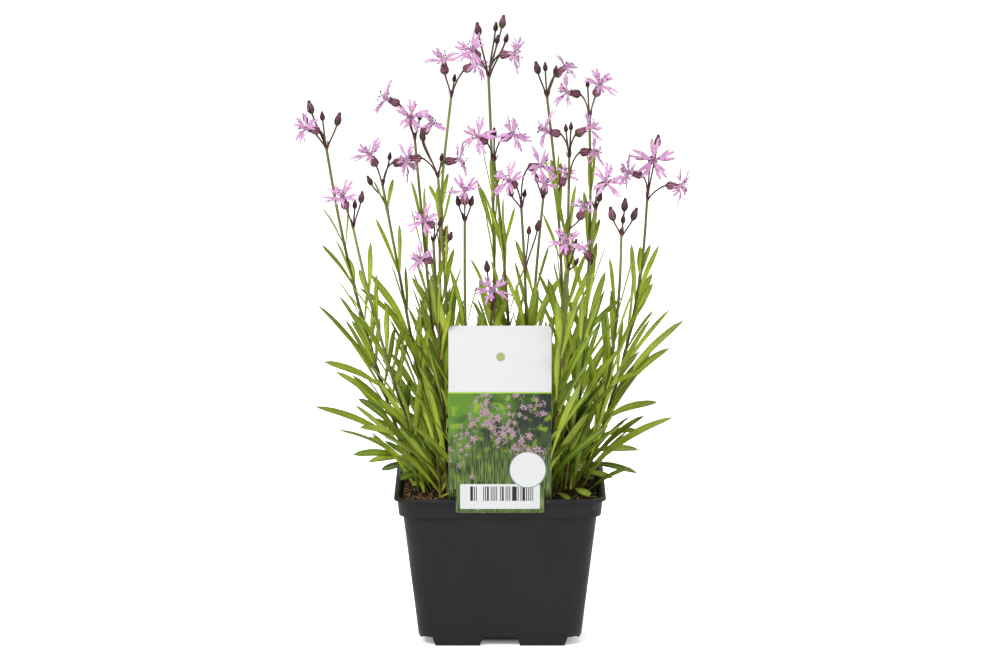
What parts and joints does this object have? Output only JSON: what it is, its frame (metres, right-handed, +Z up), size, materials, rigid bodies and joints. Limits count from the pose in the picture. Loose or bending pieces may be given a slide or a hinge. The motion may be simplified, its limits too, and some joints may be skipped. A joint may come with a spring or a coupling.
{
  "type": "potted ragged robin",
  "caption": "Square nursery pot with soil, a clump of slender leafy stems carrying ragged lilac flowers, and a plant label hooked over the front rim.",
  "frame": {"origin": "on the pot's axis at the foot of the pot", "axes": "+Z up, -Y is the front, where the label stands, +X to the right seen from the front"},
  "size_m": [0.2091, 0.1561, 0.325],
  "materials": {
    "pot_plastic": "moulded dark grey plastic, satin",
    "potting_soil": "moist peaty potting soil with fibres and crumbs",
    "label_plastic": "printed plastic sheet, smooth",
    "green_growth": "fresh green leaves and stems, purple-brown calyces and buds",
    "lilac_petal": "soft lilac-pink petals"
  },
  "bodies": {
    "root": {"pot": "pot_plastic", "soil": "potting_soil", "label": "label_plastic", "stem_01": "green_growth", "stem_02": "green_growth", "stem_03": "green_growth", "stem_04": "green_growth", "stem_05": "green_growth", "stem_06": "green_growth", "stem_07": "green_growth", "stem_08": "green_growth", "stem_09": "green_growth", "stem_10": "green_growth", "stem_11": "green_growth", "stem_12": "green_growth", "stem_13": "green_growth", "stem_14": "green_growth", "stem_15": "green_growth", "stem_16": "green_growth", "stem_17": "green_growth", "stem_18": "green_growth", "stem_19": "green_growth", "stem_20": "green_growth", "bloom_01": "lilac_petal", "bloom_02": "lilac_petal", "bloom_03": "lilac_petal", "bloom_04": "lilac_petal", "bloom_05": "lilac_petal", "bloom_06": "lilac_petal", "bloom_07": "lilac_petal", "bloom_08": "lilac_petal", "bloom_09": "lilac_petal", "bloom_10": "lilac_petal", "bloom_11": "lilac_petal", "bloom_12": "lilac_petal", "bloom_13": "lilac_petal", "bloom_14": "lilac_petal", "bloom_15": "lilac_petal", "bloom_16": "lilac_petal", "bloom_17": "lilac_petal", "bloom_18": "lilac_petal", "bloom_19": "lilac_petal", "bloom_20": "lilac_petal", "bloom_21": "lilac_petal", "bloom_22": "lilac_petal", "bloom_23": "lilac_petal", "bloom_24": "lilac_petal", "bloom_25": "lilac_petal", "bloom_26": "lilac_petal", "bloom_27": "lilac_petal", "bloom_28": "lilac_petal", "bloom_29": "lilac_petal", "bloom_30": "lilac_petal", "bloom_31": "lilac_petal", "bloom_32": "lilac_petal", "bloom_33": "lilac_petal", "bloom_34": "lilac_petal", "bloom_35": "lilac_petal", "bloom_36": "lilac_petal"}
  },
  "joints": []
}
